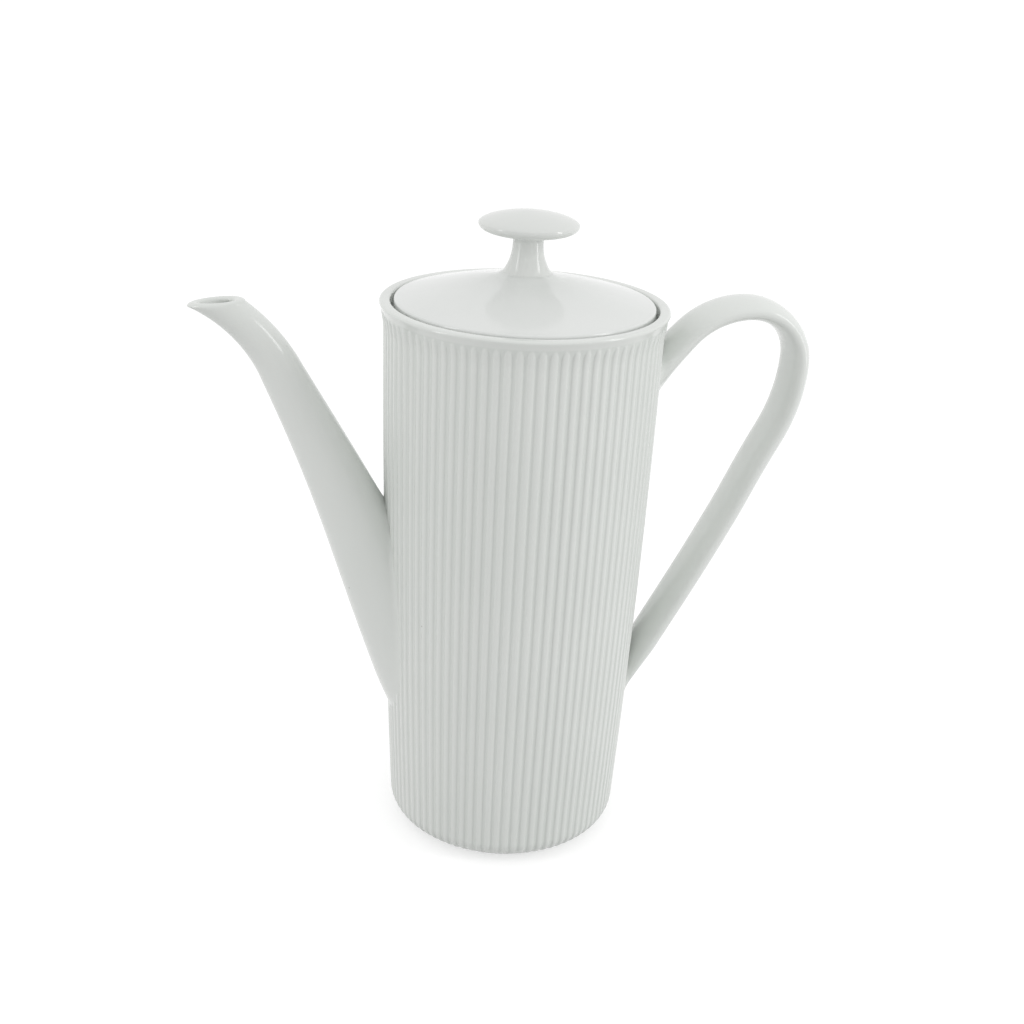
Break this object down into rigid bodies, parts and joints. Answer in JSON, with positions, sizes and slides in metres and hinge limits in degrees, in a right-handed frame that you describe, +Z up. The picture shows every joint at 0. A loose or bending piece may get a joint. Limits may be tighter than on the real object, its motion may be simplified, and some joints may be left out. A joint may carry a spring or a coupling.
{
  "type": "coffee pot",
  "caption": "Tall reeded porcelain coffee pot with a long curved spout, a strap handle and a lift-off lid with a mushroom knob.",
  "frame": {"origin": "on the pot's axis, in the plane of the table that the foot ring stands on", "axes": "+Z up along the pot's axis, -X towards the spout, +X towards the handle"},
  "size_m": [0.2238, 0.104, 0.2415],
  "materials": {
    "porcelain_body": "gloss",
    "porcelain_spout": "gloss",
    "porcelain_handle": "gloss",
    "porcelain_lid": "gloss",
    "porcelain_knob": "gloss"
  },
  "bodies": {
    "pot": {"pot_body": "porcelain_body", "spout": "porcelain_spout", "handle": "porcelain_handle"},
    "lid": {"lid": "porcelain_lid", "lid_knob": "porcelain_knob"}
  },
  "joints": [
    {"name": "lid_lift", "type": "slide", "parent": "pot", "child": "lid", "axis": [0, 0, 1], "range_m": [0, 0.08]}
  ]
}
